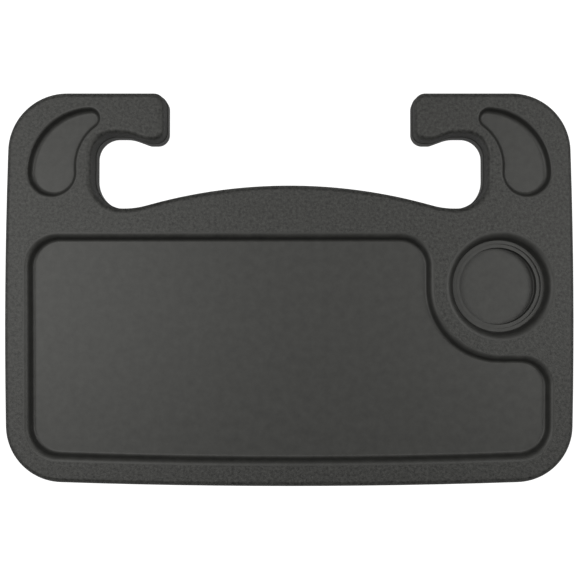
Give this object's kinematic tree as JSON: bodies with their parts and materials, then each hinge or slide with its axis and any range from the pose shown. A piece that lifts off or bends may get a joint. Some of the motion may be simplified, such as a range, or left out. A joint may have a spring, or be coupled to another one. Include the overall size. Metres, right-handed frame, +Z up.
{
  "type": "steering wheel tray",
  "caption": "Flat two-shell plastic tray with hooks that hang it over a steering wheel rim, with a wide food recess, a stepped cup well and teardrop wells.",
  "frame": {"origin": "middle of the tray's bounding box, on the plane that the flat back face rests on", "axes": "+X along the long side, towards the cup well; +Y towards the hooks; +Z up, out of the food side"},
  "size_m": [0.4182, 0.2897, 0.024],
  "materials": {
    "grained_abs": "charcoal ABS, finely grained rim",
    "textured_abs": "charcoal ABS, finely textured",
    "black_zinc_steel": "black zinc plating"
  },
  "bodies": {
    "root": {"front_shell": "grained_abs", "back_shell": "textured_abs", "shell_screw_01": "black_zinc_steel", "shell_screw_02": "black_zinc_steel", "shell_screw_03": "black_zinc_steel", "shell_screw_04": "black_zinc_steel", "shell_screw_05": "black_zinc_steel", "shell_screw_06": "black_zinc_steel", "shell_screw_07": "black_zinc_steel", "shell_screw_08": "black_zinc_steel", "shell_screw_09": "black_zinc_steel", "shell_screw_10": "black_zinc_steel", "shell_screw_11": "black_zinc_steel", "shell_screw_12": "black_zinc_steel", "shell_screw_13": "black_zinc_steel"}
  },
  "joints": []
}
